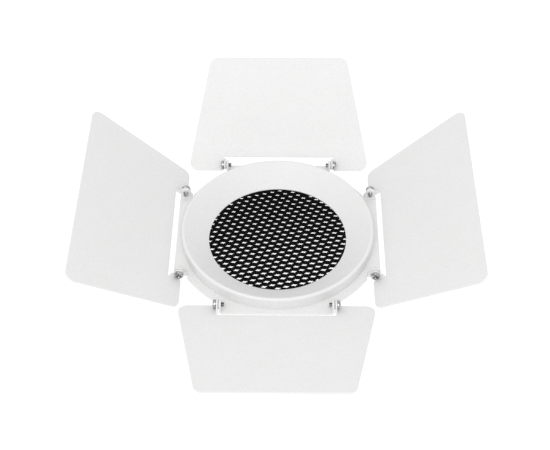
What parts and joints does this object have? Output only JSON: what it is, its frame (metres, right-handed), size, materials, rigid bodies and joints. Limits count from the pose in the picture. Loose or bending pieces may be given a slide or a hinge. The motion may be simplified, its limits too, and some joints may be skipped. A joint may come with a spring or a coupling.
{
  "type": "barn door attachment",
  "caption": "Barn door for a round spotlight: a dished ring with a black honeycomb louvre and white trapezoid leaves, each on its own friction hinge.",
  "frame": {"origin": "centre of the mounting collar's rear face, on the lamp's axis", "axes": "+Z is the way the light leaves, away from the lamp; the top leaf's hinge is on the +Y side and its pin runs along X"},
  "size_m": [0.2394, 0.2401, 0.0641],
  "materials": {
    "white_coat": "satin",
    "black_foil": "matte",
    "zinc_steel": "satin",
    "spring_steel": "satin",
    "nylon": "matte"
  },
  "bodies": {
    "base": {"front_ring": "white_coat", "base_plate": "white_coat", "mounting_collar": "white_coat", "honeycomb_core": "black_foil", "honeycomb_frame": "black_foil", "retaining_ring": "spring_steel", "grip_spring_1": "spring_steel", "grip_spring_2": "spring_steel", "grip_spring_3": "spring_steel", "spring_rivet_1": "zinc_steel", "spring_rivet_2": "zinc_steel", "spring_rivet_3": "zinc_steel", "assembly_screw_1": "zinc_steel", "assembly_screw_2": "zinc_steel", "assembly_screw_3": "zinc_steel", "assembly_screw_4": "zinc_steel", "hinge_screw_top_left": "zinc_steel", "hinge_screw_top_right": "zinc_steel", "hinge_screw_left_lower": "zinc_steel", "hinge_screw_left_upper": "zinc_steel", "hinge_screw_bottom_right": "zinc_steel", "hinge_screw_bottom_left": "zinc_steel", "hinge_screw_right_upper": "zinc_steel", "hinge_screw_right_lower": "zinc_steel", "hinge_washer_top_left": "nylon", "hinge_washer_top_right": "nylon", "hinge_washer_left_lower": "nylon", "hinge_washer_left_upper": "nylon", "hinge_washer_bottom_right": "nylon", "hinge_washer_bottom_left": "nylon", "hinge_washer_right_upper": "nylon", "hinge_washer_right_lower": "nylon"},
    "leaf_top": {"leaf_top": "white_coat"},
    "leaf_left": {"leaf_left": "white_coat"},
    "leaf_bottom": {"leaf_bottom": "white_coat"},
    "leaf_right": {"leaf_right": "white_coat"}
  },
  "joints": [
    {"name": "leaf_top_hinge", "type": "hinge", "parent": "base", "child": "leaf_top", "pos_m": [0, 0.0595, 0.0142], "axis": [1, 0, 0], "range_deg": [-48.1, 96.9]},
    {"name": "leaf_left_hinge", "type": "hinge", "parent": "base", "child": "leaf_left", "pos_m": [-0.0595, 0, 0.0142], "axis": [0, 1, 0], "range_deg": [-35.6, 64.4]},
    {"name": "leaf_bottom_hinge", "type": "hinge", "parent": "base", "child": "leaf_bottom", "pos_m": [0, -0.0595, 0.0142], "axis": [-1, 0, 0], "range_deg": [-11.2, 133.8]},
    {"name": "leaf_right_hinge", "type": "hinge", "parent": "base", "child": "leaf_right", "pos_m": [0.0595, 0, 0.0142], "axis": [0, -1, 0], "range_deg": [-36.1, 63.9]}
  ]
}
